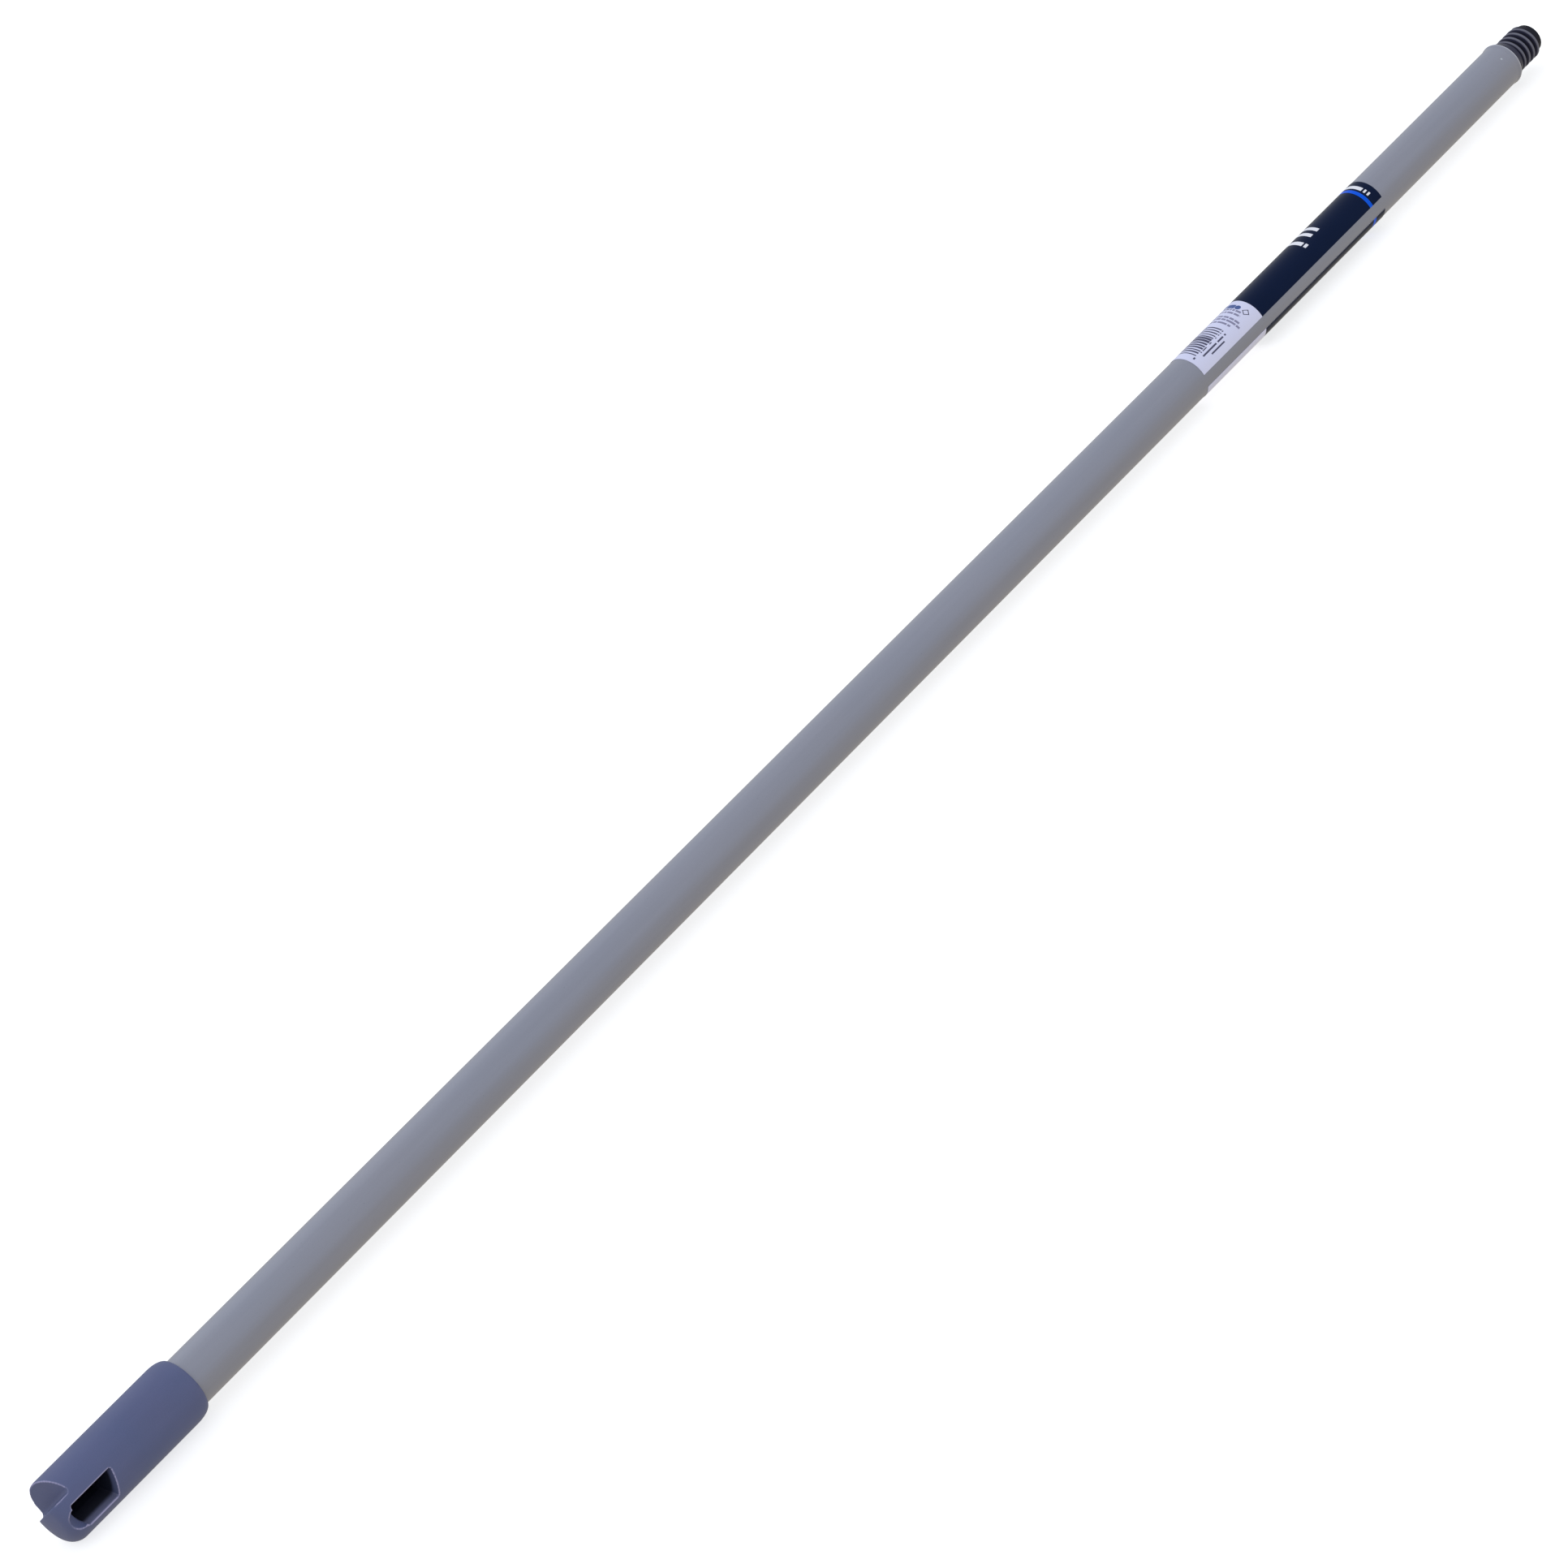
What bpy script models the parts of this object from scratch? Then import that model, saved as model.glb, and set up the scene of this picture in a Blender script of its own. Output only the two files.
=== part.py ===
"""Fixed-length roller extension pole: coated steel tube, slotted end cap, threaded tip and a wrapped label."""

import math

import bmesh
import bpy
from mathutils import Matrix, Vector

# Units are metres. A station is a distance along the pole from the outer end of the cap.
POLE_LENGTH = 1.200
FACETS = 48
FIT_GAP = 0.00015

TUBE_RADIUS = 0.0125
TUBE_WALL = 0.0005
TUBE_START = 0.0380
TUBE_RIM = 1.1716
LIP_PEAK = TUBE_RIM - 0.0004
LIP_HALF_LENGTH = 0.0024
LIP_RISE = 0.0005
STAKE_STATION = TUBE_RIM - 0.0090
STAKE_BALL_RADIUS = 0.0020
STAKE_DEPTH = 0.00025
STAKE_ANGLES_DEG = (105.0, 225.0, 345.0)

CAP_RADIUS = 0.0160
CAP_END_ROUND = 0.0075
CAP_CROWN_TURN = math.radians(12.0)
CAP_MOUTH = 0.0848
CAP_SHOULDER_LENGTH = 0.0080
CAP_LIP_WALL = 0.00025
SOCKET_FLOOR = TUBE_START - 0.0010

SLOT_HALF_WIDTH = 0.0063
SLOT_NEAR_END = 0.0068
SLOT_FAR_END = 0.0292
SLOT_FAR_SKEW = 0.0013
SLOT_END_BULGE = 0.0040
SLOT_FLOOR_DROP = 0.0020
SCOOP_RADIUS = 0.0058
SCOOP_EDGE_STATION = 0.0007
SCOOP_TILT = math.radians(45.0)

NOTCH_TURN = math.radians(33.5)
NOTCH_LEDGE_HEIGHT = 0.0026
NOTCH_DEPTH = 0.0099
NOTCH_LEAN = 0.25
NOTCH_YAW = math.atan(0.195)
NOTCH_CORNER_RADIUS = 0.0020

SHANK_LENGTH = 0.0400
SHANK_CHAMFER = 0.0010
SHANK_BORE_RADIUS = 0.0092
STAKE_GROOVE_HALF_LENGTH = 0.0020
STAKE_GROOVE_DEPTH = 0.0006
COLLAR_RADIUS = 0.0125
COLLAR_LENGTH = 0.0012
COLLAR_TAPER_LENGTH = 0.0042
COLLAR_FACE_RADIUS = 0.0106
COLLAR_GAP = 0.0003
THREAD_ROOT_RADIUS = 0.0087
THREAD_CREST_RADIUS = 0.0105
THREAD_PITCH = 0.0047
THREAD_BASE_WIDTH = 0.0031
THREAD_CREST_WIDTH = 0.0014
THREAD_BURIED = 0.0005
THREAD_START = TUBE_RIM + 0.0047
THREAD_END = POLE_LENGTH - 0.0032
THREAD_RUN_OUT_TURNS = 0.16
THREAD_STEPS_PER_TURN = 36
NOSE_CHAMFER = 0.0010
NOSE_WALL = 0.0040
NOSE_BORE_RADIUS = 0.0052

LABEL_START = 0.8547
LABEL_END = 1.0280
LABEL_GAP = 0.0001
LABEL_THICKNESS = 0.00015
LABEL_FACETS = 43
LABEL_FIRST_FACET = -9

FACET_ANGLE = 2.0 * math.pi / FACETS
AXIS_HEIGHT = CAP_RADIUS * math.cos(FACET_ANGLE / 2.0)
NOTCH_UP = Vector((-math.cos(NOTCH_TURN), math.sin(NOTCH_TURN), 0.0))


def clear_scene():
    for thing in list(bpy.data.objects):
        bpy.data.objects.remove(thing, do_unlink=True)


def new_collection(name):
    group = bpy.data.collections.new(name)
    bpy.context.scene.collection.children.link(group)
    return group


def material(name, colour, roughness, metallic=0.0):
    made = bpy.data.materials.new(name)
    made.use_nodes = True
    shader = made.node_tree.nodes["Principled BSDF"]
    shader.inputs["Base Color"].default_value = (*colour, 1.0)
    shader.inputs["Roughness"].default_value = roughness
    shader.inputs["Metallic"].default_value = metallic
    made.diffuse_color = (*colour, 1.0)
    return made


def add_axis(group):
    """Empty at the outer end of the cap, with its Z along the pole and its X straight down."""
    axis = bpy.data.objects.new("pole_axis", None)
    axis.location = (-POLE_LENGTH / 2.0, 0.0, AXIS_HEIGHT)
    axis.rotation_euler = (0.0, math.pi / 2.0, 0.0)
    group.objects.link(axis)
    return axis


def add_object(name, mesh, group, axis, look=None):
    made = bpy.data.objects.new(name, mesh)
    group.objects.link(made)
    made.parent = axis
    if look:
        mesh.materials.append(look)
    return made


def arc(centre, radii, start_deg, end_deg, steps):
    """Points (radius, station) of an elliptical arc, both ends included."""
    points = []
    for i in range(steps + 1):
        turn = math.radians(start_deg + (end_deg - start_deg) * i / steps)
        points.append((centre[0] + radii[0] * math.cos(turn), centre[1] + radii[1] * math.sin(turn)))
    return points


def turned(name, profile, closed, group, axis, look):
    """Solid of revolution: the profile runs down its outer side, from high stations to low ones."""
    mesh = bpy.data.meshes.new(name)
    edges = [(i, i + 1) for i in range(len(profile) - 1)]
    if closed:
        edges.append((len(profile) - 1, 0))
    mesh.from_pydata([(radius, 0.0, station) for radius, station in profile], edges, [])
    made = add_object(name, mesh, group, axis, look)
    made.rotation_euler = (0.0, 0.0, FACET_ANGLE / 2.0)
    screw = made.modifiers.new("turn", "SCREW")
    screw.axis = "Z"
    screw.steps = FACETS
    screw.render_steps = FACETS
    screw.use_merge_vertices = True
    screw.merge_threshold = 0.00001
    screw.use_smooth_shade = True
    return made


def hide_cutter(cutter):
    cutter.hide_render = True
    cutter.display_type = "WIRE"


def mesh_from_curve(curve, group, axis):
    """Replace a curve by a welded mesh object with the same name and placing."""
    bpy.context.view_layer.update()
    graph = bpy.context.evaluated_depsgraph_get()
    mesh = bpy.data.meshes.new_from_object(curve.evaluated_get(graph))
    shape = bmesh.new()
    shape.from_mesh(mesh)
    bmesh.ops.remove_doubles(shape, verts=shape.verts, dist=0.000001)
    bmesh.ops.recalc_face_normals(shape, faces=shape.faces)
    shape.to_mesh(mesh)
    shape.free()
    name = curve.name
    place = curve.matrix_world.copy()
    bpy.data.objects.remove(curve, do_unlink=True)
    made = add_object(name, mesh, group, axis)
    bpy.context.view_layer.update()
    made.matrix_world = place
    return made


def outline_cutter(name, points, half_depth, group, axis, place):
    """Prism of a flat outline; place is its matrix in the axis frame."""
    data = bpy.data.curves.new(name, "CURVE")
    data.dimensions = "2D"
    data.fill_mode = "BOTH"
    data.extrude = half_depth
    line = data.splines.new("POLY")
    line.points.add(len(points) - 1)
    for point, (x, y) in zip(line.points, points):
        point.co = (x, y, 0.0, 1.0)
    line.use_cyclic_u = True
    outline = add_object(name, data, group, axis)
    outline.matrix_local = place
    cutter = mesh_from_curve(outline, group, axis)
    hide_cutter(cutter)
    return cutter


def join(target, other, operation):
    made = target.modifiers.new(other.name, "BOOLEAN")
    made.operation = operation
    made.solver = "EXACT"
    made.object = other


def slot_outline():
    """Skewed far corners and a bowed end towards the dome; X is the width, Y the station."""
    bow_radius = (SLOT_HALF_WIDTH ** 2 + SLOT_END_BULGE ** 2) / (2.0 * SLOT_END_BULGE)
    half_turn = math.degrees(math.asin(SLOT_HALF_WIDTH / bow_radius))
    centre = (0.0, SLOT_NEAR_END + bow_radius)
    corners = [(SLOT_HALF_WIDTH, SLOT_FAR_END - SLOT_FAR_SKEW), (-SLOT_HALF_WIDTH, SLOT_FAR_END + SLOT_FAR_SKEW)]
    return corners + arc(centre, (bow_radius, bow_radius), 270.0 - half_turn, 270.0 + half_turn, 12)


def slot_cutter(group, axis):
    """Blind pocket from the front, its floor parallel to the ledge of the notch and just below it."""
    across = Matrix.Rotation(math.pi / 2.0, 4, "X")
    cutter = outline_cutter("slot_cutter", slot_outline(), CAP_RADIUS + 0.004, group, axis, across)
    up = across.inverted() @ NOTCH_UP
    shape = bmesh.new()
    shape.from_mesh(cutter.data)
    everything = shape.verts[:] + shape.edges[:] + shape.faces[:]
    floor_point = up * (NOTCH_LEDGE_HEIGHT - SLOT_FLOOR_DROP)
    cut = bmesh.ops.bisect_plane(shape, geom=everything, plane_co=floor_point, plane_no=up, clear_outer=True)
    rim = [thing for thing in cut["geom_cut"] if isinstance(thing, bmesh.types.BMEdge)]
    bmesh.ops.edgenet_fill(shape, edges=rim)
    bmesh.ops.recalc_face_normals(shape, faces=shape.faces)
    shape.to_mesh(cutter.data)
    shape.free()
    return cutter


def scoop_cutter(group, axis):
    """Slanted cylinder that bevels the bowed end of the slot where it comes out of the cap."""
    mesh = bpy.data.meshes.new("scoop_cutter")
    shape = bmesh.new()
    bmesh.ops.create_cone(shape, cap_ends=True, segments=32, radius1=SCOOP_RADIUS,
                          radius2=SCOOP_RADIUS, depth=0.020)
    shape.to_mesh(mesh)
    shape.free()
    cutter = add_object(mesh.name, mesh, group, axis)
    edge = Vector((0.0, -CAP_RADIUS, SCOOP_EDGE_STATION))
    cutter.location = edge + SCOOP_RADIUS * Vector((0.0, -math.cos(SCOOP_TILT), math.sin(SCOOP_TILT)))
    cutter.rotation_euler = (SCOOP_TILT - math.pi / 2.0, 0.0, 0.0)
    hide_cutter(cutter)
    return cutter


def notch_outline():
    """Wedge above the ledge with a rounded inner corner; X is the station, Y the height."""
    reach = CAP_RADIUS + 0.004
    corner = NOTCH_CORNER_RADIUS
    foot = NOTCH_DEPTH - NOTCH_LEAN * NOTCH_LEDGE_HEIGHT
    bend = (foot - corner, NOTCH_LEDGE_HEIGHT + corner)
    return ([(-0.004, reach), (-0.004, NOTCH_LEDGE_HEIGHT)]
            + arc(bend, (corner, corner), 270.0, 360.0, 5)
            + [(NOTCH_DEPTH - NOTCH_LEAN * reach, reach)])


def notch_cutter(group, axis):
    """Step in the domed end, turned about the pole by NOTCH_TURN and yawed about its own height."""
    along = Vector((0.0, 0.0, 1.0))
    frame = Matrix((along, NOTCH_UP, along.cross(NOTCH_UP))).transposed().to_4x4()
    yaw = Matrix.Translation((NOTCH_DEPTH, 0.0, 0.0)) @ Matrix.Rotation(NOTCH_YAW, 4, "Y")
    place = frame @ yaw @ Matrix.Translation((-NOTCH_DEPTH, 0.0, 0.0))
    return outline_cutter("notch_cutter", notch_outline(), 0.024, group, axis, place)


def cap_end():
    """Corner round and shallow crown of the closed end, tangent where they meet."""
    edge = CAP_RADIUS - CAP_END_ROUND * (1.0 - math.sin(CAP_CROWN_TURN))
    rise = edge * math.tan(CAP_CROWN_TURN) / 2.0
    centre = (CAP_RADIUS - CAP_END_ROUND, rise + CAP_END_ROUND * math.cos(CAP_CROWN_TURN))
    corner = arc(centre, (CAP_END_ROUND, CAP_END_ROUND), 0.0, math.degrees(CAP_CROWN_TURN) - 90.0, 8)
    return corner + [(edge * share, rise * share ** 2) for share in (0.67, 0.33, 0.0)]


def end_cap(group, cutters, axis):
    bore = TUBE_RADIUS + FIT_GAP
    lip = bore + CAP_LIP_WALL
    shoulder = CAP_MOUTH - CAP_SHOULDER_LENGTH
    profile = [(0.0, SOCKET_FLOOR), (bore, SOCKET_FLOOR), (bore, CAP_MOUTH)]
    profile += arc((lip, shoulder), (CAP_RADIUS - lip, CAP_SHOULDER_LENGTH), 90.0, 0.0, 6)
    profile += cap_end()
    look = material("slate_moulded_plastic", (0.088, 0.107, 0.195), 0.45)
    cap = turned("end_cap", profile, False, group, axis, look)
    join(cap, slot_cutter(cutters, axis), "DIFFERENCE")
    join(cap, scoop_cutter(cutters, axis), "DIFFERENCE")
    join(cap, notch_cutter(cutters, axis), "DIFFERENCE")
    return cap


def stake_cutter(index, angle_deg, group, axis):
    """Ball that presses a shallow dimple into the tube over the groove of the tip's shank."""
    mesh = bpy.data.meshes.new(f"stake_cutter_{index}")
    shape = bmesh.new()
    bmesh.ops.create_uvsphere(shape, u_segments=16, v_segments=8, radius=STAKE_BALL_RADIUS)
    shape.to_mesh(mesh)
    shape.free()
    cutter = add_object(mesh.name, mesh, group, axis)
    reach = TUBE_RADIUS + STAKE_BALL_RADIUS - STAKE_DEPTH
    turn = math.radians(angle_deg)
    cutter.location = (reach * math.cos(turn), reach * math.sin(turn), STAKE_STATION)
    hide_cutter(cutter)
    return cutter


def tube(group, cutters, axis):
    inner = TUBE_RADIUS - TUBE_WALL
    at_rim = math.degrees(math.asin((TUBE_RIM - LIP_PEAK) / LIP_HALF_LENGTH))
    bell = arc((TUBE_RADIUS, LIP_PEAK), (LIP_RISE, LIP_HALF_LENGTH), at_rim, -85.0, 6)
    profile = [(inner, TUBE_RIM)] + bell
    profile += [(TUBE_RADIUS, TUBE_START), (inner, TUBE_START)]
    look = material("satin_coated_steel", (0.262, 0.283, 0.347), 0.38, 0.2)
    made = turned("tube", profile, True, group, axis, look)
    for index, angle_deg in enumerate(STAKE_ANGLES_DEG):
        join(made, stake_cutter(index, angle_deg, cutters, axis), "DIFFERENCE")
    return made


def thread_section(group, axis):
    """Trapezoid of the thread: X is outward from the helix, Y along the pole."""
    rise = THREAD_CREST_RADIUS - THREAD_ROOT_RADIUS
    base, crest = THREAD_BASE_WIDTH / 2.0, THREAD_CREST_WIDTH / 2.0
    corners = ((-THREAD_BURIED, -base), (THREAD_BURIED, -base), (THREAD_BURIED + rise, -crest),
               (THREAD_BURIED + rise, crest), (THREAD_BURIED, base), (-THREAD_BURIED, base))
    data = bpy.data.curves.new("thread_section", "CURVE")
    data.dimensions = "2D"
    line = data.splines.new("POLY")
    line.points.add(len(corners) - 1)
    for point, (x, y) in zip(line.points, corners):
        point.co = (x, y, 0.0, 1.0)
    line.use_cyclic_u = True
    section = add_object("thread_section", data, group, axis)
    hide_cutter(section)
    return section


def thread_ridge(group, axis):
    """Helical ridge that sinks into the core over its first and last part of a turn."""
    section = thread_section(group, axis)
    turns = (THREAD_END - THREAD_START) / THREAD_PITCH
    steps = round(turns * THREAD_STEPS_PER_TURN)
    data = bpy.data.curves.new("thread_ridge", "CURVE")
    data.dimensions = "3D"
    data.twist_mode = "Z_UP"
    data.bevel_mode = "OBJECT"
    data.bevel_object = section
    data.use_fill_caps = True
    line = data.splines.new("POLY")
    line.points.add(steps)
    helix = THREAD_ROOT_RADIUS - THREAD_BURIED
    for i, point in enumerate(line.points):
        done = turns * i / steps
        turn = 2.0 * math.pi * done
        from_end = min(done, turns - done) / THREAD_RUN_OUT_TURNS
        point.co = (helix * math.cos(turn), helix * math.sin(turn), THREAD_START + THREAD_PITCH * done, 1.0)
        point.radius = 0.18 + 0.82 * min(1.0, from_end)
    ridge = mesh_from_curve(add_object("thread_ridge", data, group, axis), group, axis)
    bpy.data.objects.remove(section, do_unlink=True)
    hide_cutter(ridge)
    return ridge


def threaded_tip(group, cutters, axis):
    shank = TUBE_RADIUS - TUBE_WALL - FIT_GAP
    seat = TUBE_RIM + COLLAR_GAP
    shank_end = seat - SHANK_LENGTH
    collar_end = seat + COLLAR_LENGTH
    face = collar_end + COLLAR_TAPER_LENGTH
    groove = STAKE_GROOVE_HALF_LENGTH
    profile = [(0.0, POLE_LENGTH), (THREAD_ROOT_RADIUS - NOSE_CHAMFER / 2.0, POLE_LENGTH),
               (THREAD_ROOT_RADIUS, POLE_LENGTH - NOSE_CHAMFER), (THREAD_ROOT_RADIUS, face),
               (COLLAR_FACE_RADIUS, face), (COLLAR_RADIUS, collar_end), (COLLAR_RADIUS, seat), (shank, seat),
               (shank, STAKE_STATION + groove), (shank - STAKE_GROOVE_DEPTH, STAKE_STATION + groove),
               (shank - STAKE_GROOVE_DEPTH, STAKE_STATION - groove), (shank, STAKE_STATION - groove),
               (shank, shank_end + SHANK_CHAMFER), (shank - SHANK_CHAMFER, shank_end),
               (SHANK_BORE_RADIUS, shank_end), (SHANK_BORE_RADIUS, TUBE_RIM - 0.002),
               (NOSE_BORE_RADIUS, seat + 0.003), (NOSE_BORE_RADIUS, POLE_LENGTH - NOSE_WALL),
               (0.0, POLE_LENGTH - NOSE_WALL)]
    look = material("dark_moulded_plastic", (0.045, 0.048, 0.085), 0.4)
    tip = turned("threaded_tip", profile, False, group, axis, look)
    join(tip, thread_ridge(cutters, axis), "UNION")
    return tip


def label(group, axis):
    """Printed film wrapped round the tube, open along a narrow strip."""
    radius = TUBE_RADIUS + LABEL_GAP
    mesh = bpy.data.meshes.new("label")
    mesh.from_pydata([(radius, 0.0, LABEL_END), (radius, 0.0, LABEL_START)], [(0, 1)], [])
    made = add_object("label", mesh, group, axis, material("printed_film", (0.012, 0.025, 0.075), 0.25))
    made.rotation_euler = (0.0, 0.0, (LABEL_FIRST_FACET + 0.5) * FACET_ANGLE)
    screw = made.modifiers.new("wrap", "SCREW")
    screw.axis = "Z"
    screw.angle = LABEL_FACETS * FACET_ANGLE
    screw.steps = LABEL_FACETS
    screw.render_steps = LABEL_FACETS
    screw.use_merge_vertices = True
    screw.merge_threshold = 0.00001
    screw.use_smooth_shade = True
    film = made.modifiers.new("film", "SOLIDIFY")
    film.thickness = LABEL_THICKNESS
    film.offset = 1.0
    return made


def build():
    clear_scene()
    parts = new_collection("roller_extension_pole")
    cutters = new_collection("cutters")
    axis = add_axis(parts)
    end_cap(parts, cutters, axis)
    tube(parts, cutters, axis)
    threaded_tip(parts, cutters, axis)
    label(parts, axis)


build()
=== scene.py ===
"""Looks of the roller extension pole: finer meshes and materials for its four CAD nodes, a pale
floor, soft white surroundings, one lamp and a camera."""

import math

import bmesh
import bpy
import numpy as np
from mathutils import Matrix, Vector


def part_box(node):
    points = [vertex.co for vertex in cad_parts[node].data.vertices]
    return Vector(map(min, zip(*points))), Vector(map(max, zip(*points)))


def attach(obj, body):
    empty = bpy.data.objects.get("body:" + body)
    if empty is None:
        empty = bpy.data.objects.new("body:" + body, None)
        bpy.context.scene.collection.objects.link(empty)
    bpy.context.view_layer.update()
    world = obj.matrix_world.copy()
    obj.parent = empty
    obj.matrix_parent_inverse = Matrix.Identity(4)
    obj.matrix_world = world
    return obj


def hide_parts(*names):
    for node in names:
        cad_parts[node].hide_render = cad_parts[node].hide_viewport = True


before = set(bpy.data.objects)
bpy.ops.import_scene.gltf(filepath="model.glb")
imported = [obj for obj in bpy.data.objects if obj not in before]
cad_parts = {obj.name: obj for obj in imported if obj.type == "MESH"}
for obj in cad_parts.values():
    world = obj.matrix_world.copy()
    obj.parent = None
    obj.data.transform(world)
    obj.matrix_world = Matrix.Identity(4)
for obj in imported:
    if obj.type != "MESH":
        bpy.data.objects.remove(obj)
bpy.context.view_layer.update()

# Metres. A station is a distance along the pole from the outer end of the cap, and an angle rises
# from the front of the pole (-Y) over its top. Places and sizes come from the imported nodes.
CAP_LOW, CAP_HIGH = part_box("end_cap")
TUBE_LOW, TUBE_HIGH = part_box("tube")
TIP_LOW, TIP_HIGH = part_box("threaded_tip")
LABEL_LOW, LABEL_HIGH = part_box("label")
CAD_FACETS = 48
WELD_DISTANCE = 0.000002
START = CAP_LOW.x
AXIS_Z = (TUBE_LOW.z + TUBE_HIGH.z) / 2.0
LENGTH = TIP_HIGH.x - START

LIP_RISE = 0.0005
TUBE_RADIUS = (TUBE_HIGH.z - TUBE_LOW.z) / 2.0 / math.cos(math.pi / CAD_FACETS) - LIP_RISE
TUBE_WALL = 0.0005
TUBE_START = TUBE_LOW.x - START
TUBE_RIM = TUBE_HIGH.x - START
TUBE_COLUMNS = 192
TUBE_STEP = 0.02
TUBE_FINE_STEP = 0.00025
TUBE_FINE_REACH = 0.0020
RIM_ROUND = 0.0002
LIP_PEAK = TUBE_RIM - 0.0004
LIP_REACH = 0.0030
STAKE_STATION = TUBE_RIM - 0.0090
STAKE_ANGLES = [math.radians(a) for a in (45.0, 165.0, 285.0)]
STAKE_RADIUS = 0.0012
STAKE_DEPTH = 0.00045

CAP_RADIUS = AXIS_Z - CAP_LOW.z
CAP_COLUMNS = 192
CAP_CUTTER_REACH = 0.004
CAP_MOUTH = CAP_HIGH.x - START
CAP_END_ROUND = 0.0075
CAP_CROWN_TURN = math.radians(12.0)
CAP_SHOULDER = 0.0080
CAP_BORE = TUBE_RADIUS + 0.00022
CAP_LIP = 0.00030
SOCKET_FLOOR = TUBE_START - 0.0010
CAP_VOXEL = 0.00045
CAP_SMOOTHING = 3

SLOT_HALF_WIDTH = 0.0067
SLOT_NEAR = 0.0078
SLOT_NEAR_SKEW = 0.0013
SLOT_FAR = 0.0296
SLOT_SKEW = 0.0018
SLOT_BULGE = 0.0012
SLOT_CORNER = 0.0008
SLOT_FLOOR = 0.0006
SCOOP_RADIUS = 0.0058
SCOOP_LENGTH = 0.020
SCOOP_EDGE = 0.0018
SCOOP_TILT = math.radians(45.0)

NOTCH_TURN = math.radians(33.5)
NOTCH_LEDGE = 0.0026
NOTCH_CORNER = 0.0020
NOTCH_DEPTH = 0.0090
NOTCH_YAW = 0.21
NOTCH_BOW = -11.0
NOTCH_STEP = 0.001
NOTCH_COLUMNS = 41

TIP_COLUMNS = 180
SHANK_END = TIP_LOW.x - START
SHANK_RADIUS = TUBE_RADIUS - TUBE_WALL - 0.00015
SHANK_CHAMFER = 0.001
SHANK_BORE = 0.0092
NOSE_BORE = 0.0052
NOSE_WALL = 0.004
GROOVE_HALF_LENGTH = 0.002
GROOVE_DEPTH = 0.0006
COLLAR_SEAT = TUBE_RIM + 0.0001
COLLAR_SEAT_ROUND = 0.0002
COLLAR_RADIUS = 0.0125
COLLAR_LENGTH = 0.0015
COLLAR_ROUND = 0.0010
COLLAR_TAPER = 0.0042
COLLAR_TAPER_TURN = 63.0
COLLAR_FACE = 0.0106
COLLAR_FACE_ROUND = 0.0004
COLLAR_END = TUBE_RIM + COLLAR_LENGTH + COLLAR_TAPER
THREAD_ROOT = 0.0087
THREAD_CREST = 0.0105
THREAD_PITCH = 0.0047
THREAD_BASE = 0.00165
THREAD_TOP = 0.00055
THREAD_START = TUBE_RIM + 0.0047
THREAD_TURNS = (LENGTH - 0.0024 - THREAD_START) / THREAD_PITCH
THREAD_RUN_OUT = 0.18
THREAD_FILLET = 0.0005
THREAD_STEP = 0.00012
NOSE_ROUND = 0.0009

LABEL_START = LABEL_LOW.x - START
LABEL_END = LABEL_HIGH.x - START
LABEL_NAVY = LABEL_START + 0.0553
LABEL_RING = (LABEL_END - 0.0114, LABEL_END - 0.0088)
LABEL_ANGLES = (math.radians(12.7), math.radians(338.5))
LABEL_COLUMNS = 181
LABEL_STEP = 0.01
LABEL_GAP = 0.00004
LABEL_FILM = 0.00015
MM_PER_DEG = 0.22

FLOOR_HALF_SIZE = 60.0
LAMP_PLACE = (-0.2, 1.1, 1.3)
LAMP_SIZE = 1.6
LAMP_POWER = 2.5

# The camera looks at one point of the axis. Its direction is given by the angle above the front of
# the pole and the angle towards the cap's end, and its roll by how steeply the pole rises.
CAMERA_AIM = (-0.0935, 0.0, AXIS_Z)
CAMERA_ABOVE = math.radians(33.5)
CAMERA_TO_CAP = math.radians(30.0)
CAMERA_POLE_RISE = math.radians(45.06)
CAMERA_DISTANCE = 1.9316
CAMERA_LENS_MM = 91.73
CAMERA_SENSOR_MM = 36.0


def smooth_step(x):
    """Smooth rise from 0 to 1 while x goes from 0 to 1."""
    x = np.clip(x, 0.0, 1.0)
    return x * x * (3.0 - 2.0 * x)


def arc(centre, radii, start_deg, end_deg, steps):
    """(station, radius) points of an elliptical arc; 0 degrees points along the pole, 90 outwards."""
    turns = [math.radians(start_deg + (end_deg - start_deg) * i / steps) for i in range(steps + 1)]
    return [(centre[0] + radii[0] * math.cos(t), centre[1] + radii[1] * math.sin(t)) for t in turns]


def hold(name, data):
    """New object in the scene that holds a mesh, a lamp or a camera."""
    made = bpy.data.objects.new(name, data)
    bpy.context.scene.collection.objects.link(made)
    return made


def dress(name, mesh, look):
    """New smooth-shaded object with one material."""
    mesh.materials.append(look)
    mesh.shade_smooth()
    return hold(name, mesh)


def bake(name, shape):
    """New mesh with the contents of a bmesh, which is freed."""
    mesh = bpy.data.meshes.new(name)
    shape.to_mesh(mesh)
    shape.free()
    return mesh


def grid_points(stations, radii, angles):
    """World points of stations and radii in rows and angles in columns."""
    return np.stack(np.broadcast_arrays(START + stations, -radii * np.cos(angles),
                                        AXIS_Z + radii * np.sin(angles)), -1)


def grid_faces(rows, columns, wrap_rows, wrap_columns):
    """Quads of a grid whose rows follow the pole and whose columns follow the angle, facing out."""
    faces = []
    for i in range(rows if wrap_rows else rows - 1):
        for k in range(columns if wrap_columns else columns - 1):
            j, m = (i + 1) % rows, (k + 1) % columns
            faces.append((i * columns + k, j * columns + k, j * columns + m, i * columns + m))
    return faces


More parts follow.
